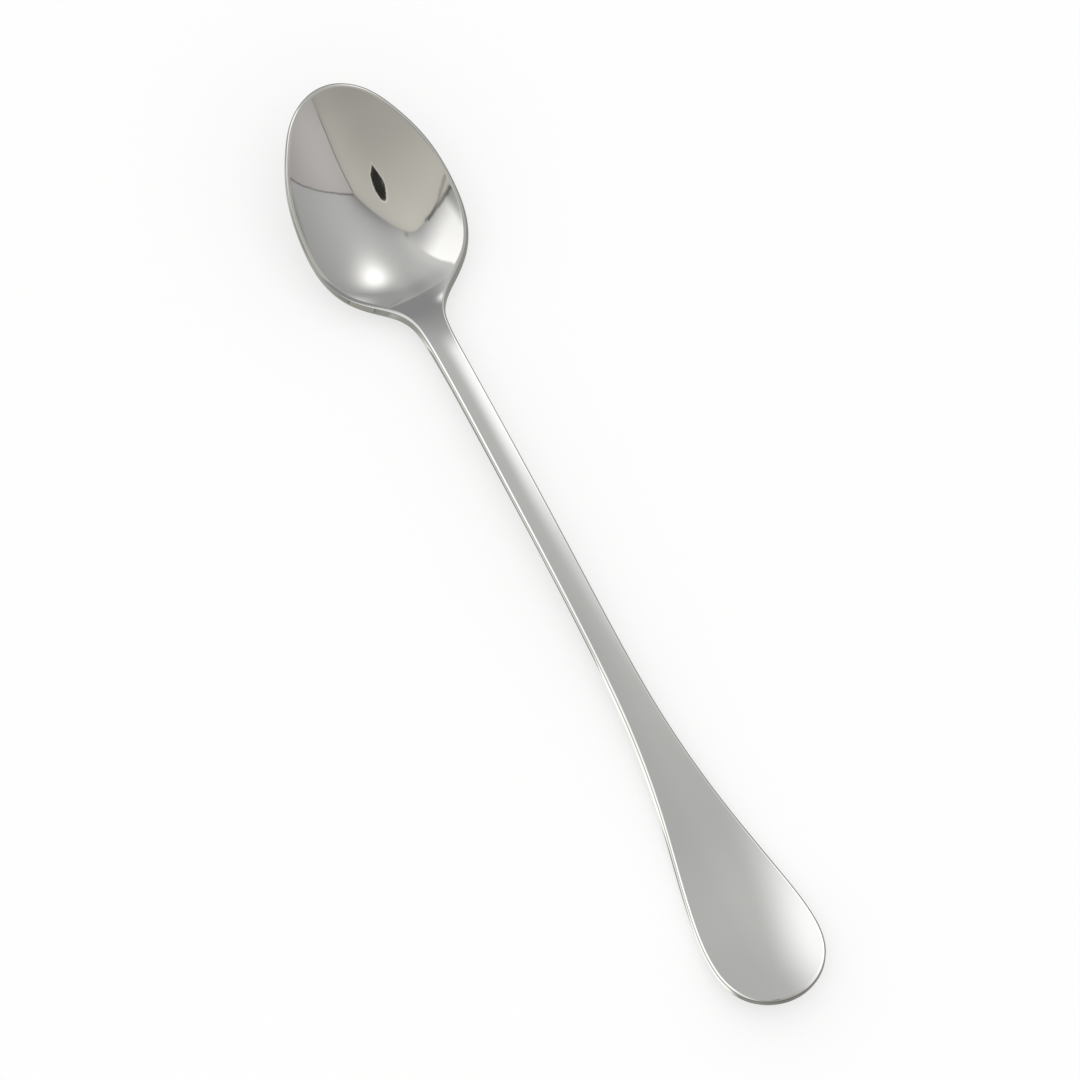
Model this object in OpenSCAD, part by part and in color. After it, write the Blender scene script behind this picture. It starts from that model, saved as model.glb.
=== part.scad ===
// Iced tea spoon, lying bowl up as it does on a table.
// The spoon runs along X with the tip of the bowl at the low end, and Z is up from the table.
// A station is a distance along the spoon, counted from the tip of the bowl.

/* [Overall] */
// Length from the tip of the bowl to the end of the handle
overall_length = 190; // [160:1:230]
// Radius that rounds the upper and the lower edge all the way round
edge_radius = 0.55; // [0.3:0.05:0.6]

/* [Bowl] */
// Length of the bowl, from its tip to the narrowest place of the neck
bowl_length = 54; // [46:1:64]
// Width of the bowl across its rim
bowl_width = 31; // [24:0.5:38]
// Depth of the bowl below its rim
bowl_depth = 6.3; // [5:0.1:8]
// Thickness of the metal at the rim of the bowl
rim_thickness = 1.2; // [1.2:0.05:2]
// Extra thickness at the bottom of the bowl
bowl_belly = 0.25; // [0:0.05:0.6]
// Rise of the rim at the tip above the rim at the heel
tip_rise = 11.3; // [6:0.1:14]

/* [Neck and stem] */
// Width of the neck
neck_width = 5.3; // [4:0.1:8]
// Thickness of the neck at its edges
neck_thickness = 2.9; // [2:0.1:4]
// Width of the stem where the handle starts to widen
stem_width = 5.6; // [4:0.1:8]
// Thickness of the stem at its edges
stem_thickness = 2.7; // [1.8:0.1:3.6]
// Height of the crown on the upper face of the stem
stem_crown = 0.16; // [0:0.02:0.5]
// Swell of the underside of the stem
stem_belly = 0.2; // [0:0.02:0.5]
// Rise of the stem above the rim at the heel, where the stem is highest
stem_rise = 1.1; // [0:0.1:6]

/* [Handle] */
// Length of the handle, from the place where it starts to widen to its end
handle_length = 80; // [60:1:95]
// Width of the handle at its widest
handle_width = 21.2; // [14:0.2:28]
// Thickness of the handle at its edges
handle_thickness = 1.9; // [1.6:0.05:3]
// Height of the crown on the upper face of the handle
handle_crown = 0.12; // [0:0.02:0.6]
// Swell of the underside of the handle
handle_belly = 0.3; // [0.1:0.02:0.8]
// Drop of the handle below the rim at the heel, where the handle is lowest
handle_drop = 1.9; // [1:0.1:6]
// Rise of the end of the handle above the place where the handle is lowest
end_rise = 4; // [0:0.1:6]

/* [Rest] */
// Depth of the flat that is ground where the spoon touches the table
rest_depth = 0.08; // [0.04:0.01:0.12]

/* [Hidden] */
// Overrun of the block that cuts the rest flats
overrun = 5;
bowl_half = bowl_width / 2;
neck_half = neck_width / 2;
stem_half = stem_width / 2;
handle_half = handle_width / 2;
handle_start = overall_length - handle_length;
stem_length = handle_start - bowl_length;

// Outline of the bowl from the tip to its widest place: station, then half width
front_shares = [[0.055, 0.469], [0.15, 0.716], [0.28, 0.912], [0.45, 0.996]];
// Outline from the widest place back to the neck: station, then how far it is from neck to bowl width
back_shares = [[0.58, 0.939], [0.68, 0.713], [0.76, 0.332], [0.83, 0.089], [0.9, 0.014], [1, 0]];
// Outline of the handle up to its widest place: station, then how far it is from stem to handle width
flare_shares = [[0, 0], [0.19, 0.038], [0.375, 0.184], [0.56, 0.495], [0.725, 0.848], [0.84, 1]];
// Outline of the end of the handle: station, then half width
end_shares = [[0.94, 0.837], [0.98, 0.53]];
// Height of the rim between heel and tip: station on the bowl, then share of the rise
rim_shares = [[0, 1], [0.22, 0.655], [0.44, 0.35], [0.66, 0.09], [0.85, 0]];
// Height along the stem: station on the stem, then share of the rise
stem_shares = [[0.03, 0.4], [0.45, 1], [0.8, 0.83]];
// Height along the handle: station on the handle, then share of the drop, measured from the stem's highest place
drop_shares = [[0.19, 0.45], [0.5, 0.9], [0.775, 1]];
// How strongly the hollow bends: station on the bowl, then share of the bend at its middle
hollow_shares = [[0, 1.33], [0.11, 1.26], [0.22, 1.16], [0.33, 1.06], [0.44, 1], [0.66, 1], [0.8, 1]];
// Station where the hollow has run out
hollow_end_share = 0.94;
// Place along the stem from which it has its full crown, and places along the handle that have theirs
stem_crown_share = 0.25;
handle_crown_shares = [0.4, 0.7, 0.9, 1];
// Thickness along the bowl: station, then how far it is from rim to neck thickness
thicken_shares = [[0, 0], [0.3, 0], [0.62, 0.25], [0.95, 1]];
// Thickness along the handle: station, then how far it is from stem to handle thickness
taper_shares = [[0, 0], [0.6, 0.5], [1, 1]];
// Stations where the spoon touches the table
bowl_rest_share = 0.617;
handle_rest_share = 0.675;
// Middle of each round end, as shares of the bowl and of the handle
bowl_hub_share = 0.26;
handle_hub_share = 0.82;
// Where the square cut across the neck starts to turn into rounds that follow the outline
neck_turn_share = 0.8;
handle_turn_share = 0.3;
// Mesh counts: stations in each zone, columns from the middle to the edge, and steps round an edge
bowl_steps = 40;
stem_steps = 16;
handle_steps = 34;
columns = 8;
round_steps = 2;
// Stations crowd towards a round end by this power
crowding = 1.5;

bowl_rest = bowl_length * bowl_rest_share;
handle_rest = handle_start + handle_length * handle_rest_share;

// Natural cubic spline through points (x, v), kept as [x, v, second derivatives]
function rows(x, v, i, above) =
    i > len(x) - 2 ? [] :
    let (
        before = x[i] - x[i - 1],
        after = x[i + 1] - x[i],
        bend = (v[i + 1] - v[i]) / after - (v[i] - v[i - 1]) / before,
        pivot = (before + after) / 3 - before / 6 * above[0],
        row = [after / 6 / pivot, (bend - before / 6 * above[1]) / pivot]
    )
    concat([row], rows(x, v, i + 1, row));
function solved(row_list, i, next) =
    i < 0 ? [] :
    let (m = row_list[i][1] - row_list[i][0] * next)
    concat(solved(row_list, i - 1, m), [m]);
function spline(x, v) =
    let (row_list = rows(x, v, 1, [0, 0]))
    [x, v, concat([0], solved(row_list, len(row_list) - 1, 0), [0])];
function spline_of(points) = spline([for (p = points) p[0]], [for (p = points) p[1]]);

// Value and slope of a spline at a station
function piece_of(x, s, i = 1) = i >= len(x) - 1 || s <= x[i] ? i - 1 : piece_of(x, s, i + 1);
function at(c, s) =
    let (
        k = piece_of(c[0], s),
        h = c[0][k + 1] - c[0][k],
        a = (c[0][k + 1] - s) / h,
        b = (s - c[0][k]) / h,
        low = c[2][k] * h,
        high = c[2][k + 1] * h
    )
    [
        a * c[1][k] + b * c[1][k + 1] + ((pow(a, 3) - a) * low + (pow(b, 3) - b) * high) * h / 6,
        (c[1][k + 1] - c[1][k]) / h - (3 * a * a - 1) / 6 * low + (3 * b * b - 1) / 6 * high
    ];

// Square of the outline's half width, which is smooth where the outline is round
outline = spline_of([
    [0, 0],
    for (p = front_shares) [p[0] * bowl_length, pow(p[1] * bowl_half, 2)],
    for (p = back_shares) [p[0] * bowl_length, pow(neck_half + p[1] * (bowl_half - neck_half), 2)],
    [bowl_length + stem_length / 2, pow((neck_half + stem_half) / 2, 2)],
    for (p = flare_shares)
        [handle_start + p[0] * handle_length, pow(stem_half + p[1] * (handle_half - stem_half), 2)],
    for (p = end_shares) [handle_start + p[0] * handle_length, pow(p[1] * handle_half, 2)],
    [overall_length, 0]
]);

// Height of the upper edge above the rim at the heel
edge_line = spline_of([
    for (p = rim_shares) [p[0] * bowl_length, p[1] * tip_rise],
    for (p = stem_shares) [bowl_length + p[0] * stem_length, p[1] * stem_rise],
    for (p = drop_shares) [handle_start + p[0] * handle_length, stem_rise - p[1] * (stem_rise + handle_drop)],
    [overall_length, end_rise - handle_drop]
]);

// Bulge of the upper face over its edges, for each square millimetre of the outline's square
bulge = spline_of([
    for (p = hollow_shares) [p[0] * bowl_length, -p[1] * bowl_depth / pow(bowl_half, 2)],
    [hollow_end_share * bowl_length, 0],
    for (p = [stem_crown_share, 1]) [bowl_length + p * stem_length, stem_crown / pow(stem_half, 2)],
    for (p = handle_crown_shares) [handle_start + p * handle_length, handle_crown / pow(handle_half, 2)]
]);

// Thickness at the edges
thickness = spline_of([
    for (p = thicken_shares)
        [p[0] * bowl_length, rim_thickness + p[1] * (neck_thickness - rim_thickness)],
    [bowl_length + stem_length / 2, (neck_thickness + stem_thickness) / 2],
    for (p = taper_shares)
        [handle_start + p[0] * handle_length, stem_thickness + p[1] * (handle_thickness - stem_thickness)]
]);

// Extra thickness towards the middle, for each square millimetre of the outline's square
belly = spline_of([
    for (p = hollow_shares) [p[0] * bowl_length, p[1] * bowl_belly / pow(bowl_half, 2)],
    for (p = [stem_crown_share, 1]) [bowl_length + p * stem_length, stem_belly / pow(stem_half, 2)],
    for (p = handle_crown_shares) [handle_start + p * handle_length, handle_belly / pow(handle_half, 2)]
]);

// Height of the underside on the middle line, before the spoon is seated
function raw_under(s) =
    let (w2 = at(outline, s)[0])
    at(edge_line, s)[0] + at(bulge, s)[0] * w2 - at(thickness, s)[0] - at(belly, s)[0] * w2;
bowl_seat = raw_under(bowl_rest) + rest_depth;
handle_seat = raw_under(handle_rest) + rest_depth;
seat_slope = (handle_seat - bowl_seat) / (handle_rest - bowl_rest);
function seat(s) = bowl_seat + seat_slope * (s - bowl_rest);

// 1 where the metal follows the outline all round, 0 where it is square across
function ease(u) = let (t = min(max(u, 0), 1)) t * t * (3 - 2 * t);
function follow(s) =
    s < bowl_length
    ? 1 - ease((s / bowl_length - neck_turn_share) / (1 - neck_turn_share))
    : ease((s - handle_start) / handle_length / handle_turn_share);

// Upper face at station s and side distance y, and the way through the metal from there
function face_point(s, y) =
    [s, y, at(edge_line, s)[0] - seat(s) + at(bulge, s)[0] * (at(outline, s)[0] - y * y)];
function face_normal(s, y) =
    let (
        w2 = at(outline, s),
        b = at(bulge, s),
        slope = at(edge_line, s)[1] - seat_slope + b[1] * (w2[0] - y * y) + b[0] * w2[1],
        n = [-slope * follow(s), 2 * b[0] * y, 1]
    )
    n / norm(n);
function metal(s, y) = at(thickness, s)[0] + at(belly, s)[0] * max(at(outline, s)[0] - y * y, 0);

// Middle point from which the section at a station runs out to the edge
function hub(s) =
    s < bowl_length
    ? bowl_length * (bowl_hub_share + s / bowl_length * (1 - bowl_hub_share))
    : s > handle_start
    ? handle_start + (s - handle_start) * handle_hub_share
    : s;

// Half section at a station, from the middle of the upper face round the edge to the middle below
function half_section(s) =
    let (
        w2 = at(outline, s),
        half = sqrt(max(w2[0], 0)),
        side = [-w2[1] / 2 * follow(s), half, 0],
        out_plan = side / norm(side),
        inner = [s, half, 0] - out_plan * edge_radius,
        edge_y = max(inner[1], 0),
        middle = hub(s),
        upper = [for (c = [0:columns]) let (q = c / columns) [middle + q * (inner[0] - middle), q * edge_y]],
        down = face_normal(inner[0], edge_y),
        flat_out = out_plan - down * (out_plan * down),
        out = flat_out / norm(flat_out),
        top = face_point(inner[0], edge_y),
        low = top - down * metal(inner[0], edge_y)
    )
    [
        for (p = upper) face_point(p[0], p[1]),
        for (k = [1:round_steps])
            let (t = 90 * k / round_steps)
            top - down * edge_radius * (1 - cos(t)) + out * edge_radius * sin(t),
        for (k = [round_steps:-1:1])
            let (t = 90 * k / round_steps)
            low + down * edge_radius * (1 - cos(t)) + out * edge_radius * sin(t),
        for (c = [columns:-1:0])
            let (p = upper[c])
            face_point(p[0], p[1]) - face_normal(p[0], p[1]) * metal(p[0], p[1])
    ];

// Closed solid through a list of stations, round at an end where the outline closes
ring_size = 2 * (columns + 1) + 2 * round_steps;
module metal_between(stations, closed_start, closed_end) {
    last = len(stations) - 1;
    count = (last + 1) * ring_size;
    near = [for (s = stations) for (p = half_section(s)) [p[0] - overall_length / 2, p[1], p[2]]];
    far = [for (p = near) [p[0], -p[1], p[2]]];
    // Number of a far point, which is the near one wherever the two halves share it
    function far_of(i, j) =
        let (shared = j == 0 || j == ring_size - 1 || (i == 0 && closed_start) || (i == last && closed_end))
        i * ring_size + j + (shared ? 0 : count);
    // The two triangles of a cell, cut from a to d or from b to c, so that none folds flat at a round end
    function cell(a, b, c, d, slant) = slant ? [[a, b, d], [a, d, c]] : [[a, b, c], [b, d, c]];
    near_faces = [
        for (i = [0:last - 1])
            for (j = [0:ring_size - 2])
                let (k = i * ring_size + j)
                each cell(k, k + 1, k + ring_size, k + ring_size + 1, (j < ring_size / 2) != closed_end)
    ];
    far_faces = [
        for (i = [0:last - 1])
            for (j = [0:ring_size - 2])
                each cell(
                    far_of(i, j), far_of(i + 1, j), far_of(i, j + 1), far_of(i + 1, j + 1),
                    (j < ring_size / 2) != closed_end
                )
    ];
    start_cap = closed_start ? [] : [[
        for (j = [ring_size - 1:-1:0]) j,
        for (j = [1:ring_size - 2]) far_of(0, j)
    ]];
    end_cap = closed_end ? [] : [[
        ring_size * (last + 1) - 1,
        for (j = [ring_size - 2:-1:1]) far_of(last, j),
        for (j = [0:ring_size - 2]) last * ring_size + j
    ]];
    polyhedron(
        points = concat(near, far),
        faces = concat(near_faces, far_faces, start_cap, end_cap),
        convexity = 4
    );
}

// Block of air under the table, which leaves a flat where the spoon rests
module below_table(from, to) {
    translate([from - overall_length / 2 - overrun, -bowl_width / 2 - overrun, -overrun])
        cube([to - from + 2 * overrun, bowl_width + 2 * overrun, overrun]);
}

// The hollow bowl with its heel and the root of the neck
module bowl() {
    stations = [for (i = [0:bowl_steps]) bowl_length * pow(i / bowl_steps, crowding)];
    color("silver")
        difference() {
            metal_between(stations, true, false);
            below_table(0, bowl_length);
        }
}

// The slim stem between the neck and the place where the handle widens
module stem() {
    stations = [for (i = [0:stem_steps]) bowl_length + stem_length * i / stem_steps];
    color("silver")
        metal_between(stations, false, false);
}

// The broad handle with its round end
module handle() {
    stations = [
        for (i = [0:handle_steps]) overall_length - handle_length * pow(1 - i / handle_steps, crowding)
    ];
    color("silver")
        difference() {
            metal_between(stations, false, true);
            below_table(handle_start, overall_length);
        }
}

bowl();
stem();
handle();
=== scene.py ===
import math
import bpy
import numpy as np
from mathutils import Matrix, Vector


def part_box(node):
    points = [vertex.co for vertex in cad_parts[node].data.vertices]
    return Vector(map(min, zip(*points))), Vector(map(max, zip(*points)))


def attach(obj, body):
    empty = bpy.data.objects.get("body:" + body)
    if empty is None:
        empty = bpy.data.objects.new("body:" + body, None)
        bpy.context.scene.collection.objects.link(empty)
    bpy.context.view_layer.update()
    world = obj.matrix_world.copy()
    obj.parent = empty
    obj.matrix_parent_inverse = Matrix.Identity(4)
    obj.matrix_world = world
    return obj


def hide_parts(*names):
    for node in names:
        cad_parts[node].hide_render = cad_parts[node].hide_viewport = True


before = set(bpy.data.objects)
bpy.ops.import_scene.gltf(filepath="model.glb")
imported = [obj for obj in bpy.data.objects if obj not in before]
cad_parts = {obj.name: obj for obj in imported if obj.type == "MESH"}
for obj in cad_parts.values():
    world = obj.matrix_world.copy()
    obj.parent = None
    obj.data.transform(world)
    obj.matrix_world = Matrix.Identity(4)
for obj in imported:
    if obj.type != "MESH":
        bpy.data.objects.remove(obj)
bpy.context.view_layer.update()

# Iced tea spoon of polished steel. Sizes in the dictionaries are millimetres and degrees,
# and stations count along the spoon from the tip of the bowl. The meshes are in metres.
mm = 0.001
print("frame loaded, nodes", sorted(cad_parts))


# the photograph's viewpoint: the camera looks down on the spoon from its right
camera = {
    "lookAt": (0, 0, 8),
    "distance": 748.65,
    "elevation": 70.37,
    "azimuth": -47.41,
    "roll": -15.99,
    "lens": 136.4,
    "shiftX": -0.01068,
    "shiftY": -0.00354,
}


def makeCamera(c):
    # rows are the camera's right, up and back: turn about Z, lean over, then roll
    az, el, roll = (math.radians(c[k]) for k in ("azimuth", "elevation", "roll"))
    turn, tilt = Matrix.Rotation(az, 3, "Z"), Matrix.Rotation(roll, 3, "Z")
    lean = Matrix.Rotation(el - math.pi / 2, 3, "X")
    toWorld = (tilt @ lean @ turn).transposed()
    data = bpy.data.cameras.new("studioCamera")
    data.lens = c["lens"]
    data.sensor_width = 36
    data.shift_x, data.shift_y = c["shiftX"], c["shiftY"]
    data.clip_start, data.clip_end = 0.01, 20
    eye = bpy.data.objects.new("studioCamera", data)
    eye.matrix_world = toWorld.to_4x4()
    eye.location = [(p + toWorld[i][2] * c["distance"]) * mm for i, p in enumerate(c["lookAt"])]
    bpy.context.collection.objects.link(eye)
    bpy.context.scene.camera = eye


makeCamera(camera)
print("camera placed")


spoon = {
    "length": 190,
    "edgeRadius": 0.55,
    "restDepth": 0.08,
    "columns": 36,
    "columnCrowding": 1.25,
    "rounds": 8,
}
bowl = {
    "length": 54,
    "width": 31,
    "depth": 6.3,
    "rim": 1.2,
    "belly": 0.25,
    "tipRise": 11.3,
    "restAt": 0.617,
    "hubAt": 0.26,
    "turnFrom": 0.8,
    "stations": 240,
    "crowding": 1.5,
}
stem = {
    "neckWidth": 5.3,
    "neckThickness": 2.9,
    "width": 5.6,
    "thickness": 2.7,
    "crown": 0.16,
    "belly": 0.2,
    "rise": 1.1,
    "stations": 90,
}
handle = {
    "length": 80,
    "width": 21.2,
    "thickness": 1.9,
    "crown": 0.12,
    "belly": 0.3,
    "drop": 1.9,
    "endRise": 4,
    "restAt": 0.675,
    "hubAt": 0.82,
    "turnUntil": 0.3,
    "stations": 220,
    "crowding": 1.5,
}
handleStart = spoon["length"] - handle["length"]
stemLength = handleStart - bowl["length"]
bowlHalf, neckHalf = bowl["width"] / 2, stem["neckWidth"] / 2
stemHalf, handleHalf = stem["width"] / 2, handle["width"] / 2


# shares of a zone's length and of the way from low to high, as stations and values
def onBowl(shares, low=0.0, high=1.0):
    return [(p * bowl["length"], low + q * (high - low)) for p, q in shares]


def onStem(shares, low=0.0, high=1.0):
    return [(bowl["length"] + p * stemLength, low + q * (high - low)) for p, q in shares]


def onHandle(shares, low=0.0, high=1.0):
    return [(handleStart + p * handle["length"], low + q * (high - low)) for p, q in shares]


def squared(points):
    return [(p, q * q) for p, q in points]


def naturalSpline(points):
    # cubic pieces with continuous bend; the bends m solve
    # h0*m0/6 + (h0+h1)*m1/3 + h1*m2/6 = change of slope
    x, v = np.array(points, float).T
    h = np.diff(x)
    middle = np.r_[1, (h[:-1] + h[1:]) / 3, 1]
    below, above = np.r_[h[:-1] / 6, 0], np.r_[0, h[1:] / 6]
    change = np.r_[0, np.diff(np.diff(v) / h), 0]
    m = np.linalg.solve(np.diag(middle) + np.diag(below, -1) + np.diag(above, 1), change)

    def at(s):
        k = np.clip(np.searchsorted(x, s) - 1, 0, len(x) - 2)
        step = x[k + 1] - x[k]
        a, b = (x[k + 1] - s) / step, (s - x[k]) / step
        low, high = m[k] * step, m[k + 1] * step
        value = a * v[k] + b * v[k + 1] + ((a**3 - a) * low + (b**3 - b) * high) * step / 6
        slope = (v[k + 1] - v[k]) / step - (3 * a * a - 1) * low / 6 + (3 * b * b - 1) * high / 6
        return value, slope

    return at


# square of the outline's half width, smooth also where the outline closes round
outline = naturalSpline(
    [(0, 0)]
    + squared(onBowl([(0.055, 0.469), (0.15, 0.716), (0.28, 0.912), (0.45, 0.996)], 0, bowlHalf))
    + squared(onBowl([(0.58, 0.939), (0.68, 0.713), (0.76, 0.332), (0.83, 0.089), (0.9, 0.014),
                      (1, 0)], neckHalf, bowlHalf))
    + squared(onStem([(0.5, 0.5)], neckHalf, stemHalf))
    + squared(onHandle([(0, 0), (0.19, 0.038), (0.375, 0.184), (0.56, 0.495), (0.725, 0.848),
                        (0.84, 1)], stemHalf, handleHalf))
    + squared(onHandle([(0.94, 0.837), (0.98, 0.53)], 0, handleHalf))
    + [(spoon["length"], 0)]
)
# height of the upper edge over the rim at the heel
edgeLine = naturalSpline(
    onBowl([(0, 1), (0.22, 0.655), (0.44, 0.35), (0.66, 0.09), (0.85, 0)], 0, bowl["tipRise"])
    + onStem([(0.03, 0.4), (0.45, 1), (0.8, 0.83)], 0, stem["rise"])
    + onHandle([(0.19, 0.45), (0.5, 0.9), (0.775, 1)], stem["rise"], -handle["drop"])
    + [(spoon["length"], handle["endRise"] - handle["drop"])]
)
# how the upper face bulges, for each square millimetre of half width; below zero it is hollow
hollow = ((0, 1.33), (0.11, 1.26), (0.22, 1.16), (0.33, 1.06), (0.44, 1), (0.66, 1), (0.8, 1))
crownPlaces = (0.4, 0.7, 0.9, 1)
bulge = naturalSpline(
    onBowl([(p, -q * bowl["depth"] / bowlHalf**2) for p, q in hollow] + [(0.94, 0)])
    + onStem([(p, stem["crown"] / stemHalf**2) for p in (0.25, 1)])
    + onHandle([(p, handle["crown"] / handleHalf**2) for p in crownPlaces])
)
thickness = naturalSpline(
    onBowl([(0, 0), (0.3, 0), (0.62, 0.25), (0.95, 1)], bowl["rim"], stem["neckThickness"])
    + onStem([(0.5, 0.5)], stem["neckThickness"], stem["thickness"])
    + onHandle([(0, 0), (0.6, 0.5), (1, 1)], stem["thickness"], handle["thickness"])
)
# extra metal below the middle, for each square millimetre of half width
belly = naturalSpline(
    onBowl([(p, q * bowl["belly"] / bowlHalf**2) for p, q in hollow])
    + onStem([(p, stem["belly"] / stemHalf**2) for p in (0.25, 1)])
    + onHandle([(p, handle["belly"] / handleHalf**2) for p in crownPlaces])
)


def rawUnderside(s):
    return edgeLine(s)[0] + (bulge(s)[0] - belly(s)[0]) * outline(s)[0] - thickness(s)[0]


# the spoon is lowered until it touches the table at two stations
bowlRest = bowl["length"] * bowl["restAt"]
handleRest = handleStart + handle["length"] * handle["restAt"]
bowlSeat, handleSeat = (rawUnderside(np.array(s)) + spoon["restDepth"]
                        for s in (bowlRest, handleRest))
seatSlope = (handleSeat - bowlSeat) / (handleRest - bowlRest)


def seat(s):
    return bowlSeat + seatSlope * (s - bowlRest)


def ease(u):
    t = np.clip(u, 0, 1)
    return t * t * (3 - 2 * t)


def follow(s):
    # 1 where the metal follows the outline all round, 0 where it is square across
    neck = 1 - ease((s / bowl["length"] - bowl["turnFrom"]) / (1 - bowl["turnFrom"]))
    back = ease((s - handleStart) / handle["length"] / handle["turnUntil"])
    return np.where(s < bowl["length"], neck, back)


def hub(s):
    # place on the middle line from which a section runs out, so that round ends fan open
    front = bowl["length"] * bowl["hubAt"] + s * (1 - bowl["hubAt"])
    back = handleStart + (s - handleStart) * handle["hubAt"]
    return np.where(s < bowl["length"], front, np.where(s > handleStart, back, s))


def unit(v):
    return v / np.linalg.norm(v, axis=-1, keepdims=True)


def faceAt(s, y):
    # upper face z = edge - seat + bulge * (outline - y^2), with its true normal from the slopes
    # of that, the way down through the metal, and the metal's thickness with its slopes
    w, dw = outline(s)
    e, de = edgeLine(s)
    b, db = bulge(s)
    t, dt = thickness(s)
    g, dg = belly(s)
    left = w - y * y
    z = e - seat(s) + b * left
    slopeX = de - seatSlope + db * left + b * dw
    slopeY = -2 * b * y
    one = np.ones_like(z)
    true = unit(np.stack([-slopeX, -slopeY, one], -1))
    through = unit(np.stack([-slopeX * follow(s), -slopeY, one], -1))
    metal = t + g * np.maximum(left, 0)
    metalSlope = np.stack([dt + dg * left + g * dw, -2 * g * y, 0 * z], -1)
    return np.stack([s, y, z], -1), true, through, metal, metalSlope


def halfSections(s, columns, rounds):
    # rows of points from the middle of the upper face out to the edge, round it and back below,
    # with their normals: face, quarter round, straight side, quarter round, underside
    r = spoon["edgeRadius"]
    w, dw = outline(s)
    half = np.sqrt(np.maximum(w, 0))
    outward = unit(np.stack([-dw / 2 * follow(s), half, 0 * s], -1))
    wall = unit(np.stack([-dw / 2, half, 0 * s], -1))
    inner = np.stack([s, half, 0 * s], -1) - outward * r
    # the columns crowd a little towards the edge
    share = 1 - (1 - np.linspace(0, 1, columns + 1)) ** spoon["columnCrowding"]
    x = hub(s)[:, None] + share * (inner[:, 0] - hub(s))[:, None]
    y = share * np.maximum(inner[:, 1], 0)[:, None]
    top, topNormal, through, metal, metalSlope = faceAt(x, y)
    low = top - through * metal[..., None]
    lowNormal = unit(-topNormal - metalSlope)
    corner, down = top[:, -1:], through[:, -1:]
    foot = corner - down * metal[:, -1:, None]
    side, sideNormal = (unit(v[:, None] - down * (v[:, None] * down).sum(-1, keepdims=True))
                        for v in (outward, wall))
    turn = (np.pi / 2 * np.arange(1, rounds + 1) / rounds)[None, :, None]
    drop, out = r * (1 - np.cos(turn)), r * np.sin(turn)
    upper = corner - down * drop + side * out
    lower = (foot + down * drop + side * out)[:, ::-1]
    upperNormal = unit(topNormal[:, -1:] * np.cos(turn) + sideNormal * np.sin(turn))
    lowerNormal = unit(lowNormal[:, -1:] * np.cos(turn) + sideNormal * np.sin(turn))[:, ::-1]
    points = np.concatenate([top, upper, lower, low[:, ::-1]], 1)
    normals = np.concatenate([topNormal, upperNormal, lowerNormal, lowNormal[:, ::-1]], 1)
    return points, normals


def closedGrid(s, columns, rounds, roundStart, roundEnd):
    # both halves of the sections as one closed surface: points, triangles and flat ends
    near, nearNormals = halfSections(s, columns, rounds)
    flip = np.array([1, -1, 1])
    rows, ring = near.shape[:2]
    numbers = np.arange(rows * ring).reshape(rows, ring)
    far = numbers + rows * ring
    far[:, [0, -1]] = numbers[:, [0, -1]]
    if roundStart:
        far[0] = numbers[0]
    if roundEnd:
        far[-1] = numbers[-1]
    points, normals = (np.concatenate([v.reshape(-1, 3), v.reshape(-1, 3) * flip])
                       for v in (near, nearNormals))
    # each cell is cut so that no triangle lies in the middle plane at a round end
    slant = ((np.arange(ring - 1) < ring / 2) != roundEnd)[None, :, None]

    def cut(a, b, c, d):
        first = np.where(slant, np.stack([a, b, d], -1), np.stack([a, b, c], -1))
        second = np.where(slant, np.stack([a, d, c], -1), np.stack([b, d, c], -1))
        return np.concatenate([first.reshape(-1, 3), second.reshape(-1, 3)])

    def sheet(n):
        return cut(n[:-1, :-1], n[:-1, 1:], n[1:, :-1], n[1:, 1:])

    def flatEnd(row, outwards):
        # strips between a face point and the one below it
        k = np.arange(ring // 2 - 1)
        nearStrips, farStrips = (
            np.stack([n[row, k], n[row, ring - 1 - k], n[row, ring - 2 - k], n[row, k + 1]], -1)
            for n in (numbers, far))
        quads = np.concatenate([nearStrips[:, ::-outwards], farStrips[:, ::outwards]])
        return np.concatenate([quads[:, [0, 1, 2]], quads[:, [0, 2, 3]]])

    skin = np.concatenate([sheet(numbers)[:, ::-1], sheet(far)])
    ends = []
    if not roundStart:
        ends.append((flatEnd(0, 1), -1))
    if not roundEnd:
        ends.append((flatEnd(-1, -1), 1))
    return points, normals, skin, ends


def makePiece(name, node, s, roundStart=False, roundEnd=False):
    points, normals, skin, ends = closedGrid(s, spoon["columns"], spoon["rounds"],
                                             roundStart, roundEnd)
    points = (points - [spoon["length"] / 2, 0, 0]) * mm
    low, high = (np.array(corner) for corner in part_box(node))
    if roundStart or roundEnd:
        normals[points[:, 2] < low[2]] = (0, 0, -1)             # flats where it rests on the table
    points = np.clip(points, low, high)
    faces = np.concatenate([skin] + [f for f, _ in ends])
    corners = normals[skin.reshape(-1)]
    for f, way in ends:
        corners = np.concatenate([corners, np.tile([way, 0.0, 0.0], (f.size, 1))])
    used, faces = np.unique(faces, return_inverse=True)
    faces = faces.reshape(-1, 3)
    mesh = bpy.data.meshes.new(name)
    mesh.vertices.add(len(used))
    mesh.vertices.foreach_set("co", points[used].astype(np.float32).reshape(-1))
    mesh.loops.add(faces.size)
    mesh.loops.foreach_set("vertex_index", faces.astype(np.int32).reshape(-1))
    mesh.polygons.add(len(faces))
    mesh.polygons.foreach_set("loop_start", np.arange(0, faces.size, 3, dtype=np.int32))
    mesh.polygons.foreach_set("use_smooth", np.arange(len(faces)) < len(skin))
    mesh.update(calc_edges=True)
    mesh.validate()
    mesh.normals_split_custom_set(corners.tolist())
    piece = bpy.data.objects.new(name, mesh)
    bpy.context.collection.objects.link(piece)
    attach(piece, "root")
    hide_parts(node)
    print(name, len(faces), "triangles")
    return piece


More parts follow.
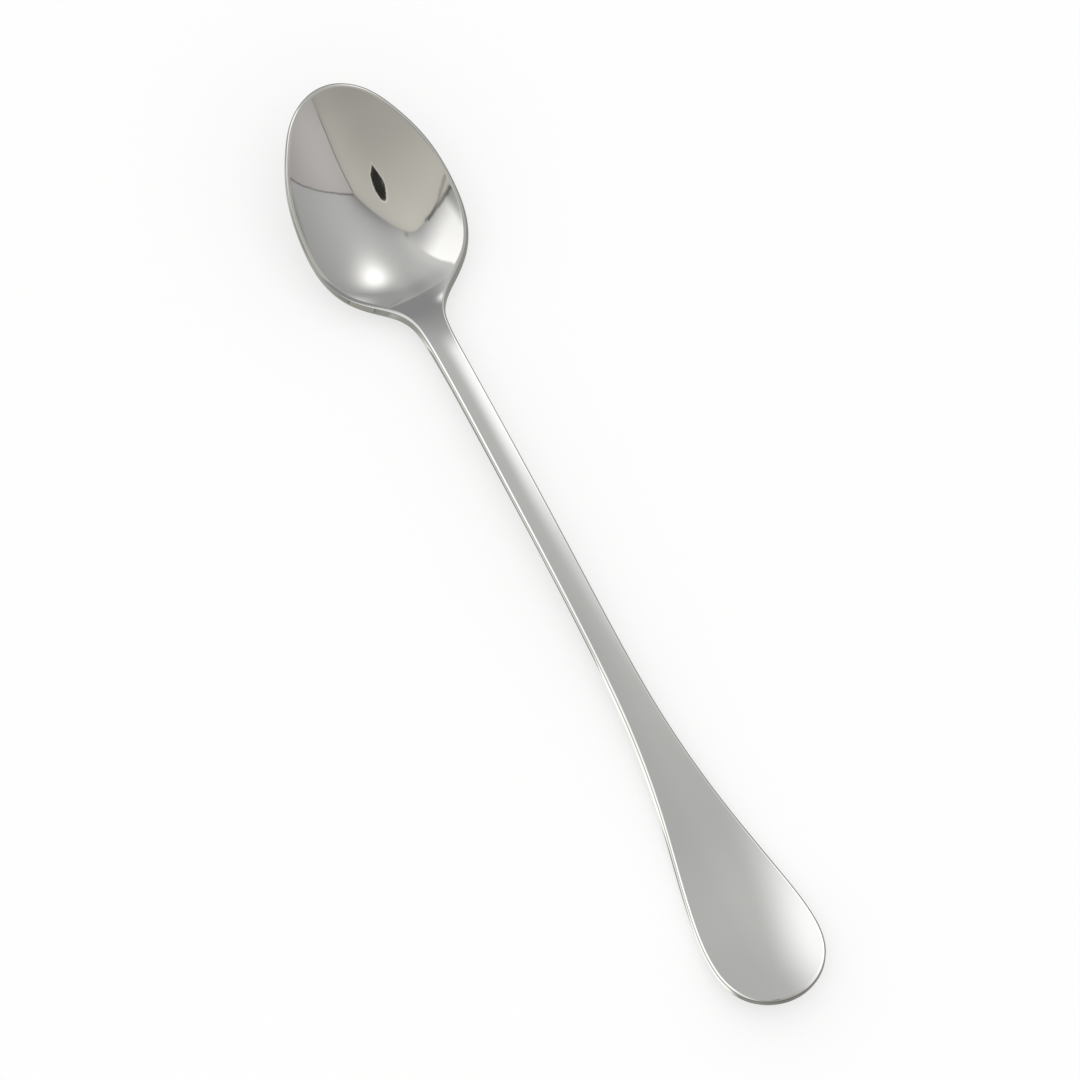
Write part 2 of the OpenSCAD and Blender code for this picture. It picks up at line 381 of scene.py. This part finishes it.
def stationsBetween(start, end, count, crowdStart=1.0, crowdEnd=1.0):
    # stations that crowd towards a round end
    u = np.linspace(0, 1, count + 1)
    return start + (end - start) * (u**crowdStart if crowdEnd == 1 else 1 - (1 - u) ** crowdEnd)


bowlStations = stationsBetween(0, bowl["length"], bowl["stations"], bowl["crowding"])
stemStations = stationsBetween(bowl["length"], handleStart, stem["stations"])
handleStations = stationsBetween(handleStart, spoon["length"], handle["stations"],
                                 crowdEnd=handle["crowding"])
bowlPiece = makePiece("spoonBowl", "bowl", bowlStations, roundStart=True)
stemPiece = makePiece("spoonStem", "stem", stemStations)
handlePiece = makePiece("spoonHandle", "handle", handleStations, roundEnd=True)


# small helpers for node trees: calc adds one Math node
def calculator(tree):
    def calc(operation, *values):
        node = tree.nodes.new("ShaderNodeMath")
        node.operation = operation
        for socket, value in zip(node.inputs, values):
            if isinstance(value, bpy.types.NodeSocket):
                tree.links.new(value, socket)
            else:
                socket.default_value = value
        return node.outputs[0]

    return calc


def fade(tree, value, low, high, atLow=0.0, atHigh=1.0):
    # smooth step: atLow below low, atHigh above high
    node = tree.nodes.new("ShaderNodeMapRange")
    node.interpolation_type = "SMOOTHSTEP"
    tree.links.new(value, node.inputs["Value"])
    for socket, number in zip(list(node.inputs)[1:5], (low, high, atLow, atHigh)):
        socket.default_value = number
    return node.outputs[0]


def falloff(tree, distance, reach=1.0):
    # exp(-distance / reach)
    calc = calculator(tree)
    return calc("POWER", math.e, calc("MULTIPLY", distance, -1 / reach))


def mound(tree, x, y, at, width, squash, turn, strength):
    # strength * exp(-(distance / width) squared), with the distance counted along turned axes
    calc = calculator(tree)
    c, s = math.cos(math.radians(turn)), math.sin(math.radians(turn))
    dx, dy = calc("SUBTRACT", x, at[0]), calc("SUBTRACT", y, at[1])
    along = calc("DIVIDE", calc("MULTIPLY_ADD", dx, c, calc("MULTIPLY", dy, s)), width)
    across = calc("DIVIDE", calc("MULTIPLY_ADD", dy, c, calc("MULTIPLY", dx, -s)), width * squash)
    distance = calc("MULTIPLY_ADD", along, along, calc("MULTIPLY", across, across))
    return calc("MULTIPLY", falloff(tree, distance), strength)


def mixColour(tree, factor, first, second):
    node = tree.nodes.new("ShaderNodeMix")
    node.data_type = "RGBA"
    tree.links.new(factor, node.inputs["Factor"])
    for socket, value in ((node.inputs["A"], first), (node.inputs["B"], second)):
        if isinstance(value, bpy.types.NodeSocket):
            tree.links.new(value, socket)
        else:
            socket.default_value = (*value, 1)
    return node.outputs["Result"]


def noise(tree, vector, scale, detail=2.0, roughness=0.5, distortion=0.0):
    node = tree.nodes.new("ShaderNodeTexNoise")
    tree.links.new(vector, node.inputs["Vector"])
    for name, value in (("Scale", scale), ("Detail", detail), ("Roughness", roughness),
                        ("Distortion", distortion)):
        node.inputs[name].default_value = value
    return node.outputs[0]


def place(tree):
    return tree.nodes.new("ShaderNodeTexCoord").outputs["Object"]


def inMillimetres(tree, vector):
    node = tree.nodes.new("ShaderNodeMapping")
    node.inputs["Scale"].default_value = (1 / mm,) * 3
    tree.links.new(vector, node.inputs["Vector"])
    return node.outputs[0]


def axesOf(tree, vector):
    node = tree.nodes.new("ShaderNodeSeparateXYZ")
    tree.links.new(vector, node.inputs[0])
    return tuple(node.outputs)


def newGroup(name, inputs, outputs):
    group = bpy.data.node_groups.new(name, "ShaderNodeTree")
    group.interface.new_socket("Vector", in_out="INPUT", socket_type="NodeSocketVector")
    for label, value in inputs:
        socket = group.interface.new_socket(label, in_out="INPUT", socket_type="NodeSocketFloat")
        socket.default_value = value
    for label in outputs:
        group.interface.new_socket(label, in_out="OUTPUT", socket_type="NodeSocketFloat")
    given, out = group.nodes.new("NodeGroupInput"), group.nodes.new("NodeGroupOutput")
    return group, given.outputs, out.inputs


def useGroup(tree, group, vector, **values):
    node = tree.nodes.new("ShaderNodeGroup")
    node.node_tree = group
    tree.links.new(vector, node.inputs["Vector"])
    for name, value in values.items():
        node.inputs[name].default_value = value
    return node.outputs


# what the steel's surface shows, lengths in millimetres
polish = {
    "colour": (0.691, 0.69, 0.689),
    "dullColour": (0.668, 0.666, 0.662),
    "cloudDulling": 0.5,
    "scratchDulling": 0.35,
    "roughness": 0.04,
    "cloudHaze": 0.014,
    "blotchHaze": 0.0084,
    "scratchHaze": 0.03,
    "lineSpacing": 0.22,
    "lineLength": 16,
    "lineDepth": 0.00035,
    "bowlMiddle": (-66, 0, 0),
    "bowlEnds": (16, 30),
    "ovalShare": 0.55,
    "ovalRadius": 9,
    "cloudSize": 14,
    "blotchSize": 3.2,
}


def polishLinesGroup():
    # fine hairlines left by the polishing mop: noise drawn out along one axis, in two widths
    group, given, out = newGroup("polishLines", [("Spacing", 0.22), ("Length", 16)],
                                 ["Height", "Scratches"])
    calc = calculator(group)
    x, y, z = axesOf(group, given["Vector"])
    layers = []
    for wider in (1, 3.1):
        join = group.nodes.new("ShaderNodeCombineXYZ")
        group.links.new(calc("DIVIDE", x, given["Length"]), join.inputs["X"])
        for axis, value in (("Y", y), ("Z", z)):
            across = calc("DIVIDE", calc("DIVIDE", value, wider), given["Spacing"])
            group.links.new(across, join.inputs[axis])
        layers.append(noise(group, join.outputs[0], 1.0, detail=2.5, roughness=0.6))
    fine, broad = layers
    height = calc("MULTIPLY_ADD", fine, 0.6, calc("MULTIPLY", broad, 0.4))
    scratches = calc("MULTIPLY", fade(group, fine, 0.56, 0.76), fade(group, broad, 0.4, 0.65))
    group.links.new(height, out["Height"])
    group.links.new(scratches, out["Scratches"])
    return group


def handlingGroup():
    # faint clouds and blotches that washing and handling leave on a polished face
    group, given, out = newGroup("handlingMarks", [("Cloud Size", 14), ("Blotch Size", 3)],
                                 ["Clouds", "Blotches"])
    calc = calculator(group)
    for size, mark, grain, limits in (
            ("Cloud Size", "Clouds", (2, 0.5, 0.6), (0.35, 0.68)),
            ("Blotch Size", "Blotches", (3, 0.55, 0.3), (0.52, 0.72))):
        node = group.nodes.new("ShaderNodeVectorMath")
        node.operation = "SCALE"
        group.links.new(given["Vector"], node.inputs[0])
        group.links.new(calc("DIVIDE", 1, given[size]), node.inputs["Scale"])
        group.links.new(fade(group, noise(group, node.outputs[0], 1.0, *grain), *limits), out[mark])
    return group


def steelMaterial(p):
    material = bpy.data.materials.new("polishedSteel")
    material.use_nodes = True
    tree = material.node_tree
    calc = calculator(tree)
    shader = tree.nodes["Principled BSDF"]
    shader.inputs["Metallic"].default_value = 1
    spot = inMillimetres(tree, place(tree))

    # lines run along the stem and the handle, and round the bowl in long ovals
    linesGroup, marksGroup = polishLinesGroup(), handlingGroup()
    straight = useGroup(tree, linesGroup, spot, Spacing=p["lineSpacing"], Length=p["lineLength"])
    fromMiddle = tree.nodes.new("ShaderNodeVectorMath")
    fromMiddle.operation = "SUBTRACT"
    tree.links.new(spot, fromMiddle.inputs[0])
    fromMiddle.inputs[1].default_value = p["bowlMiddle"]
    x, y, _ = axesOf(tree, fromMiddle.outputs[0])
    along = calc("MULTIPLY", x, p["ovalShare"])
    ring = calc("SQRT", calc("MULTIPLY_ADD", along, along, calc("MULTIPLY", y, y)))
    ovals = tree.nodes.new("ShaderNodeCombineXYZ")
    turned = calc("MULTIPLY", calc("ARCTAN2", y, along), p["ovalRadius"])
    tree.links.new(turned, ovals.inputs["X"])
    tree.links.new(ring, ovals.inputs["Y"])
    oval = useGroup(tree, linesGroup, ovals.outputs[0], Spacing=p["lineSpacing"],
                    Length=p["lineLength"] / 2)
    bowlShare = fade(tree, x, *p["bowlEnds"], 1, 0)

    def blend(name):
        change = calc("SUBTRACT", oval[name], straight[name])
        return calc("MULTIPLY_ADD", change, bowlShare, straight[name])

    marks = useGroup(tree, marksGroup, spot,
                     **{"Cloud Size": p["cloudSize"], "Blotch Size": p["blotchSize"]})
    scratches = blend("Scratches")
    dulling = calc("MULTIPLY_ADD", marks["Clouds"], p["cloudDulling"],
                   calc("MULTIPLY", scratches, p["scratchDulling"]))
    colour = mixColour(tree, dulling, p["colour"], p["dullColour"])
    tree.links.new(colour, shader.inputs["Base Color"])
    rough = p["roughness"]
    for mark, haze in ((marks["Clouds"], p["cloudHaze"]), (marks["Blotches"], p["blotchHaze"]),
                       (scratches, p["scratchHaze"])):
        rough = calc("MULTIPLY_ADD", mark, haze, rough)
    tree.links.new(rough, shader.inputs["Roughness"])
    bump = tree.nodes.new("ShaderNodeBump")
    bump.inputs["Strength"].default_value = 1
    bump.inputs["Distance"].default_value = p["lineDepth"] * mm
    tree.links.new(blend("Height"), bump.inputs["Height"])
    tree.links.new(bump.outputs[0], shader.inputs["Normal"])
    return material


steel = steelMaterial(polish)
for piece in (bowlPiece, stemPiece, handlePiece):
    piece.data.materials.append(steel)
print("steel polished")


def glowingMaterial(name):
    # an empty material for what only the steel mirrors, so it isn't sampled as a lamp
    material = bpy.data.materials.new(name)
    material.use_nodes = True
    material.cycles.emission_sampling = "NONE"
    material.node_tree.nodes.clear()
    return material, material.node_tree


def surface(tree, shader):
    tree.links.new(shader, tree.nodes.new("ShaderNodeOutputMaterial").inputs["Surface"])


def stagePiece(name, mesh, material, mirroredOnly):
    obj = bpy.data.objects.new(name, mesh)
    bpy.context.collection.objects.link(obj)
    obj.data.materials.append(material)
    if mirroredOnly:
        obj.visible_camera = obj.visible_diffuse = obj.visible_shadow = False
        obj.visible_transmission = obj.visible_volume_scatter = False


# The light tent that the steel mirrors. A direction is a pair of degrees: how far it leans
# from straight up towards +X and towards +Y, so (0, 0) is overhead and 90 away is level.
# A mound is a soft round place: where, how wide, its other width as a share, its turn and its
# strength. A seam line is half its width, how softly it ends, and what is left of the light on it.
tent = {
    "radius": 8.0,
    "lowest": 96,
    "rows": 48,
    "columns": 96,
    "crumple": (1.1, 0.9),
    "crumpleInFront": (-50, -34, 1.8, 1),
    "cloth": 0.266,
    "drape": ((-26.4, 13.6), 120, 0.526, 34.6, 0.404),
    "lamp": ((-27.5, 40.6), 16.7, 0.825, -29, 1.1),
    "lowShade": ((-55, 8.4), 27.4, 0.4, 0, -0.139),
    "heelShades": (((-71, 12), 10, 2, 0, -0.22), ((-69, 45), 9, 1.6, 0, -0.35)),
    "ridge": ((3.5, -56), (-5.3, -17.5), (19.7, 22.4), (61.3, 33.2)),
    "ridgeBends": (8, 3),
    "ridgeSoft": 0.7,
    "shadeBehind": (0.54, 5.9),
    "shadeInFront": (0.19, 3.7),
    "windowEdge": ((-67, -28), (-38, -23.4), (-16, -15.5)),
    "windowBend": 4,
    "windowSoft": 1.5,
    "windowWay": (-0.793, -0.61),
    "windowStart": (17.5, 42),
    "windowLow": (-56, -50),
    "windowStrength": 0.64,
    "windowHalo": (0.21, 10),
    "frontCloth": (0.345, 0.424, 37),
    "frontGlow": ((40, 30), 30, 1, 0, 0.104),
    "sideCloth": 0.3,
    "sideSoft": 0.5,
    "sideGlow": ((36.1, 44.2), 46.3, 1, 0, 0.303),
    "sideSeam": ((19.7, 22.4), (22.3, 76)),
    "foldSeams": (((-2.9, -33), (5.3, -53)), ((-2.9, -33), (1.6, -51))),
    "lowerSeamLine": (0.2, 1.1, 0.5),
    "lowerSeamEnd": (-34, -30),
    "upperSeamLine": (0.1, 0.7, 0.42),
    "upperSeamEnds": ((20, 22), (44, 60)),
    "sideSeamLine": (0.1, 0.65, 0.42),
    "sideSeamEnd": (0, 1.5),
    "foldSeamLine": (0.15, 0.9, 0.62),
    "foldSeamEnd": (-35, -33),
    "knot": ((-3.5, -10.6), 1.7, 1, 0, -0.32),
    "lowNear": (-59, -64),
    "lowNearLevel": (-60, -30, 0.75, 0.42),
    "lowFar": (82, 86),
    "lowTip": (-74, -80),
    "lowFarLevel": 0.31,
    "lowEnd": (72, 80),
    "lowEndLevel": 0.22,
    "lensOpening": ((14.2, -5.5), (15.2, -3.4), (18.7, -1.7), (22.5, -2.4), (25.8, -4.0),
                    (30.8, -10.0), (27, -11.8), (21.6, -14.0), (19.5, -13.8), (16.6, -11.2),
                    (14.4, -8.4)),
    "openingSoft": 0.3,
    "openingHem": (0.25, 0.8, 1.3, 1),
    "openingHemAt": 0.5,
    "openingShade": 0.018,
    "openingNoise": 0.03,
    "openingCorner": ((20.3, -12.3), 1.2, 1, 0, 0.085),
    "backTint": (1.005, 1.0, 0.975),
    "frontTint": (1.03, 1.0, 0.89),
    "sideTint": (1.055, 1.0, 0.962),
    "lowTint": (1.0, 1.0, 0.93),
}


def tentDirection(tree, t):
    # place on the dome as degrees that it leans from straight up, a little crumpled low in front
    calc = calculator(tree)
    spot = place(tree)
    x, y, z = axesOf(tree, spot)
    level = calc("SQRT", calc("MULTIPLY_ADD", x, x, calc("MULTIPLY", y, y)))
    fromUp = calc("DEGREES", calc("ARCTAN2", level, z))
    lean = calc("DIVIDE", fromUp, calc("MAXIMUM", level, 0.0001))
    east, north = calc("MULTIPLY", x, lean), calc("MULTIPLY", y, lean)
    size, amount = t["crumple"]
    wave = calc("SUBTRACT", noise(tree, spot, size, 3, 0.6), 0.5)
    east = calc("MULTIPLY_ADD", wave, fade(tree, north, *t["crumpleInFront"]), east)
    return spot, east, calc("MULTIPLY_ADD", wave, amount, north)


def tentMaterial(t):
    material, tree = glowingMaterial("tentCloth")
    calc = calculator(tree)
    spot, east, north = tentDirection(tree, t)

    def leftOf(start, end):
        # degrees to the left of the line from start to end
        long = math.dist(start, end)
        sideways = ((start[1] - end[1]) / long, (end[0] - start[0]) / long)
        offset = -(start[0] * sideways[0] + start[1] * sideways[1])
        return calc("MULTIPLY_ADD", east, sideways[0],
                    calc("MULTIPLY_ADD", north, sideways[1], offset))

    def moundAt(values):
        return mound(tree, east, north, *values)

    def line(distance, half, soft, dark):
        # 1 away from a seam, down to dark on it
        return fade(tree, calc("ABSOLUTE", distance), half, half + soft, dark, 1)

    def towards(first, second, share):
        return calc("MULTIPLY_ADD", calc("SUBTRACT", second, first), share, first)

    lower, middle, upper = (leftOf(*ends) for ends in zip(t["ridge"], t["ridge"][1:]))
    bends = t["ridgeBends"]
    behind = calc("SMOOTH_MAX", calc("SMOOTH_MAX", lower, middle, bends[0]), upper, bends[1])
    inFront = fade(tree, behind, -t["ridgeSoft"], t["ridgeSoft"], 1, 0)
    side = calc("MULTIPLY", leftOf(*t["sideSeam"]), -1)
    soft = t["sideSoft"]
    onSide = calc("MULTIPLY", fade(tree, side, -soft, soft), fade(tree, upper, -soft, soft))

    # cloth behind the ridge: draped, with the lamp's glow, darker towards the ridge and low down
    hanging = calc("ADD", calc("ADD", moundAt(t["drape"]), moundAt(t["lamp"])), t["cloth"])
    shade, reach = t["shadeBehind"]
    toRidge = falloff(tree, calc("MAXIMUM", behind, 0), reach)
    back = calc("MULTIPLY", hanging, calc("MULTIPLY_ADD", toRidge, -shade, 1))
    for values in (t["lowShade"], *t["heelShades"]):
        back = calc("MULTIPLY", back, calc("ADD", moundAt(values), 1))
    # the white window in it, crisp along its edge, with a halo beyond
    w, way = t["windowEdge"], t["windowWay"]
    edge = calc("SMOOTH_MAX", leftOf(w[1], w[0]), leftOf(w[2], w[1]), t["windowBend"])
    slanting = calc("MULTIPLY_ADD", east, way[0], calc("MULTIPLY", north, way[1]))
    soft = t["windowSoft"]
    window = calc("MULTIPLY", fade(tree, slanting, *t["windowStart"]),
                  fade(tree, edge, -soft, soft, 0, t["windowStrength"]))
    window = calc("MULTIPLY", window, fade(tree, north, *t["windowLow"]))
    strength, reach = t["windowHalo"]
    outside = calc("MULTIPLY", calc("MINIMUM", edge, 0), 1 / reach)
    halo = calc("MULTIPLY", falloff(tree, calc("MULTIPLY", outside, outside)), strength)
    back = calc("ADD", back, calc("ADD", window, halo))
    # cloth in front of it, fading towards the right, and a little shade along the ridge
    level, extra, reach = t["frontCloth"]
    front = calc("MULTIPLY_ADD", falloff(tree, east, reach), extra, level)
    front = calc("ADD", front, moundAt(t["frontGlow"]))
    shade, reach = t["shadeInFront"]
    nearRidge = falloff(tree, calc("MINIMUM", behind, 0), -reach)
    front = calc("MULTIPLY", front, calc("MULTIPLY_ADD", nearRidge, -shade, 1))
    panel = calc("ADD", moundAt(t["sideGlow"]), t["sideCloth"])
    bright = towards(towards(back, front, inFront), panel, onSide)

    # seams, thin and dark where the panels are sewn, and two folds where the ridge ends
    starts, stops = t["upperSeamEnds"]
    upperSeam = calc("MAXIMUM", line(upper, *t["upperSeamLine"]), fade(tree, east, *starts, 1, 0))
    seams = [
        calc("MAXIMUM", upperSeam, fade(tree, east, *stops)),
        calc("MAXIMUM", line(side, *t["sideSeamLine"]), fade(tree, upper, *t["sideSeamEnd"], 1, 0)),
        calc("MAXIMUM", line(lower, *t["lowerSeamLine"]), fade(tree, north, *t["lowerSeamEnd"])),
        calc("ADD", moundAt(t["knot"]), 1),
    ]
    foldEnd = fade(tree, north, *t["foldSeamEnd"])
    for fold in t["foldSeams"]:
        seams.append(calc("MAXIMUM", line(leftOf(*fold), *t["foldSeamLine"]), foldEnd))
    for seam in seams:
        bright = calc("MULTIPLY", bright, seam)
    # low down all round the cloth is in shade
    lowNear = fade(tree, east, *t["lowNearLevel"])
    shares = []
    for value, limits, level in (
            (north, t["lowNear"], lowNear), (north, t["lowFar"], t["lowFarLevel"]),
            (east, t["lowTip"], t["lowFarLevel"]), (east, t["lowEnd"], t["lowEndLevel"])):
        shares.append(fade(tree, value, *limits))
        bright = towards(bright, level, shares[-1])
    isLow = shares[0]
    for share in shares[1:]:
        isLow = calc("MAXIMUM", isLow, share)
    # the slit that the lens looks through
    corners = t["lensOpening"]
    walls = [calc("MULTIPLY", leftOf(*ends), -1)
             for ends in zip(corners, corners[1:] + corners[:1])]
    inside = walls[0]
    for wall in walls[1:]:
        inside = calc("MINIMUM", inside, wall)
    fromHem = calc("ABSOLUTE", calc("ADD", inside, t["openingHemAt"]))
    hem = fade(tree, fromHem, *t["openingHem"])
    bright = calc("MULTIPLY", bright, hem)
    grain = noise(tree, spot, 2.4, 3, 0.6)
    dark = calc("MULTIPLY_ADD", grain, t["openingNoise"], t["openingShade"])
    dark = calc("ADD", dark, moundAt(t["openingCorner"]))
    soft = t["openingSoft"]
    bright = towards(bright, dark, fade(tree, inside, -soft, soft))

    tint = mixColour(tree, onSide, t["backTint"], t["sideTint"])
    tint = mixColour(tree, inFront, tint, t["frontTint"])
    tint = mixColour(tree, isLow, tint, t["lowTint"])
    emission = tree.nodes.new("ShaderNodeEmission")
    tree.links.new(tint, emission.inputs["Color"])
    tree.links.new(bright, emission.inputs["Strength"])
    surface(tree, emission.outputs[0])
    return material


def domeMesh(name, t):
    # part of a sphere: point = radius * (sin a cos b, sin a sin b, cos a), a from 0 to lowest,
    # faces inwards
    rows, columns = t["rows"], t["columns"]
    a = np.radians(np.linspace(0.05, t["lowest"], rows + 1))[:, None]
    b = np.linspace(0, 2 * np.pi, columns, endpoint=False)[None]
    x, y, z = np.sin(a) * np.cos(b), np.sin(a) * np.sin(b), np.cos(a) + 0 * b
    points = t["radius"] * np.stack([x, y, z], -1)
    numbers = np.arange((rows + 1) * columns).reshape(rows + 1, columns)
    beside = np.roll(numbers, -1, 1)
    faces = np.stack([numbers[:-1], beside[:-1], beside[1:], numbers[1:]], -1).reshape(-1, 4)
    cap = numbers[0, ::-1].tolist()
    mesh = bpy.data.meshes.new(name)
    mesh.from_pydata(points.reshape(-1, 3).tolist(), [], faces.tolist() + [cap])
    return mesh


def flatMesh(name, low, high, height):
    mesh = bpy.data.meshes.new(name)
    corners = ((low[0], low[1]), (high[0], low[1]), (high[0], high[1]), (low[0], high[1]))
    mesh.from_pydata([(x * mm, y * mm, height * mm) for x, y in corners], [], [(3, 2, 1, 0)])
    return mesh


stagePiece("lightTent", domeMesh("lightTent", tent), tentMaterial(tent), True)

# near edge of the spoon on the table plan: y is minus 2.75 until x = 30, minus 10.6 from x = 86
nearEdge = (30, 86, 2.75, 10.6)

# A low card that only the steel mirrors, with light and shade painted on it from place to place
# along
# the spoon: painted shade over the heel of the bowl, painted highlights over the neck, the stem and
# the end of the handle, and clear elsewhere. Places on it are millimetres on the table plan. In an
# "Along" a light or shade comes or goes between two x, in a "Side" between two y, and a "Shift"
# moves that side along the spoon.
nearCard = {
    "height": 8.5,
    "corners": ((-66, -40), (100, 16)),
    "paintedShadeLevel": 0.34,
    "heelAlong": ((-63.9, -61.6), (-53.5, -41)),
    "heelSide": (1.9, 4.9),
    "heelShift": (-54, -51, 0, -1.5),
    "dimAlong": (-5, 20, 0, 0.09),
    "dimSide": (-3, 2),
    "stemGlow": (-30, 8, 0.58, 0.13),
    "stemAlong": ((-47.5, -41.5), (14, 56)),
    "stemSide": (-0.3, 2.7),
    "stemShift": (-10, 50, 0, -4),
    "handleGlow": (52, 84, 0.1, 0.7),
    "handleAlong": (40, 56),
    "handleSide": (0, 10),
    "handleShift": (66, 88, -4.5, 0.5),
    "nearGlow": (-57, -50, 0, 0.62),
    "nearSide": (0.1, 0.5),
    "glint": ((-54, 3.5), 1.3, 0.4615, 0, 0.8),
}


def nearCardMaterial(c):
    material, tree = glowingMaterial("nearCard")
    calc = calculator(tree)
    x, y, _ = axesOf(tree, inMillimetres(tree, place(tree)))

    def along(limits, first=0.0, last=1.0):
        return fade(tree, x, *limits, first, last)

    def shifted(shift):
        return calc("ADD", y, fade(tree, x, *shift))

    # painted shade: a dark sheet over the heel of the bowl and the neck, and a faint one along the
    # near side of the handle
    comes, goes = c["heelAlong"]
    paintedShade = calc("MULTIPLY", along(comes), along(goes, 1, 0))
    paintedShade = calc("MULTIPLY", paintedShade, fade(tree, shifted(c["heelShift"]), *c["heelSide"], 1, 0))
    paintedShade = calc("MULTIPLY_ADD", fade(tree, x, *c["dimAlong"]),
                 fade(tree, y, *c["dimSide"], 1, 0), paintedShade)
    # painted highlight on the far side, strong beside the neck and running out along the stem
    comes, goes = c["stemAlong"]
    light = calc("MULTIPLY", along(comes), fade(tree, x, *c["stemGlow"]))
    light = calc("MULTIPLY", light, along(goes, 1, 0))
    light = calc("MULTIPLY", light, fade(tree, shifted(c["stemShift"]), *c["stemSide"]))
    # painted highlight on the far side of the handle's end
    end = calc("MULTIPLY", fade(tree, x, *c["handleGlow"]), along(c["handleAlong"]))
    endSide = fade(tree, shifted(c["handleShift"]), *c["handleSide"])
    light = calc("MULTIPLY_ADD", end, endSide, light)
    # painted highlight beyond the near edge
    beyond = fade(tree, shifted(nearEdge), *c["nearSide"], 1, 0)
    light = calc("MULTIPLY_ADD", fade(tree, x, *c["nearGlow"]), beyond, light)
    # a glint on the far edge of the neck
    light = calc("ADD", light, mound(tree, x, y, *c["glint"]))

    clear = tree.nodes.new("ShaderNodeBsdfTransparent")
    dark, glow = (tree.nodes.new("ShaderNodeEmission") for _ in range(2))
    covered, both = tree.nodes.new("ShaderNodeMixShader"), tree.nodes.new("ShaderNodeAddShader")
    dark.inputs["Strength"].default_value = c["paintedShadeLevel"]
    tree.links.new(light, glow.inputs["Strength"])
    for first, second in ((paintedShade, covered.inputs[0]), (clear.outputs[0], covered.inputs[1]),
                          (dark.outputs[0], covered.inputs[2]),
                          (covered.outputs[0], both.inputs[0]), (glow.outputs[0], both.inputs[1])):
        tree.links.new(first, second)
    surface(tree, both.outputs[0])
    return material


stagePiece("nearCard", flatMesh("nearCard", *nearCard["corners"], nearCard["height"]),
           nearCardMaterial(nearCard), True)

# the table, made whiter for the camera alone so that the spoon keeps its light and its shadow
table = {
    "radius": 7.0,
    "drop": 0.02,
    "colour": (0.985, 0.985, 0.98),
    "whiteShare": 0.55,
}


def tableMaterial(t):
    material = bpy.data.materials.new("paleTable")
    material.use_nodes = True
    tree = material.node_tree
    calc = calculator(tree)
    shader = tree.nodes["Principled BSDF"]
    shader.inputs["Base Color"].default_value = (*t["colour"], 1)
    shader.inputs["Roughness"].default_value = 0.9
    shader.inputs["Specular IOR Level"].default_value = 0
    seen = tree.nodes.new("ShaderNodeLightPath").outputs["Is Camera Ray"]
    white, both = tree.nodes.new("ShaderNodeEmission"), tree.nodes.new("ShaderNodeMixShader")
    tree.links.new(calc("MULTIPLY", seen, t["whiteShare"]), both.inputs[0])
    tree.links.new(shader.outputs[0], both.inputs[1])
    tree.links.new(white.outputs[0], both.inputs[2])
    tree.links.new(both.outputs[0], tree.nodes["Material Output"].inputs["Surface"])
    return material


def roundMesh(name, radius, height, sides=96):
    turn = np.linspace(0, 2 * np.pi, sides, endpoint=False)
    points = np.stack([radius * np.cos(turn), radius * np.sin(turn), 0 * turn + height], -1)
    mesh = bpy.data.meshes.new(name)
    mesh.from_pydata(points.tolist(), [], [list(range(sides))])
    return mesh


stagePiece("tableTop", roundMesh("tableTop", table["radius"], -table["drop"] * mm),
           tableMaterial(table), False)

# What the steel mirrors of the table, with its light and shade painted on: painted shade close to
# the spoon, paler further out on the near left, and a band of painted light beside the near edge of
# the stem and handle.
mirroredTable = {
    "radius": 7000,
    "drop": 0.01,
    "pale": ((-105, -62), 52, 1, 0, 0.45),
    "farOff": (-900, -160, 0.45, 0),
    "behindEnd": (96, 104, 0.35, 0.2),
    "white": 1.3,
    "whiteAlong": ((-50, -42), (88, 92)),
    "whiteSide": ((0.68, 0.98), (6, 14)),
    "whiteShift": (0, 45, 0, 0.8),
    "mottling": (0.94, 1.06),
    "tint": (1.0, 1.0, 0.93),
}


def mirroredTableMaterial(m):
    material, tree = glowingMaterial("mirroredTable")
    calc = calculator(tree)
    spot = place(tree)
    x, y, _ = axesOf(tree, inMillimetres(tree, spot))
    pale = mound(tree, x, y, *m["pale"])
    farOff = calc("MULTIPLY", fade(tree, y, *m["farOff"]), calc("SUBTRACT", 1, pale))
    level = calc("ADD", fade(tree, x, *m["behindEnd"]), calc("ADD", pale, farOff))
    # the band of painted light beside the near edge, but for a painted shadow line close under the
    # stem
    beside = calc("MULTIPLY", calc("ADD", y, fade(tree, x, *nearEdge)), -1)
    (start, full), (goes, gone) = m["whiteSide"]
    whiter = fade(tree, calc("ADD", beside, fade(tree, x, *m["whiteShift"])), start, full)
    whiter = calc("MULTIPLY", whiter, fade(tree, beside, goes, gone, 1, 0))
    (start, full), (goes, gone) = m["whiteAlong"]
    whiter = calc("MULTIPLY", whiter, fade(tree, x, start, full))
    whiter = calc("MULTIPLY", whiter, fade(tree, x, goes, gone, 1, 0))
    level = calc("MULTIPLY_ADD", calc("SUBTRACT", m["white"], level), whiter, level)
    level = calc("MULTIPLY", level, fade(tree, noise(tree, spot, 60), 0.3, 0.7, *m["mottling"]))
    emission = tree.nodes.new("ShaderNodeEmission")
    emission.inputs["Color"].default_value = (*m["tint"], 1)
    tree.links.new(level, emission.inputs["Strength"])
    surface(tree, emission.outputs[0])
    return material


outer = mirroredTable["radius"]
stagePiece("mirroredTable",
           flatMesh("mirroredTable", (-outer, -outer), (outer, outer), -mirroredTable["drop"]),
           mirroredTableMaterial(mirroredTable), True)

world = bpy.data.worlds.new("daylight")
bpy.context.scene.world = world
world.use_nodes = True
world.node_tree.nodes["Background"].inputs["Color"].default_value = (1, 1, 1, 1)
world.node_tree.nodes["Background"].inputs["Strength"].default_value = 1
bpy.context.scene.view_settings.view_transform = "Standard"
print("studio made")
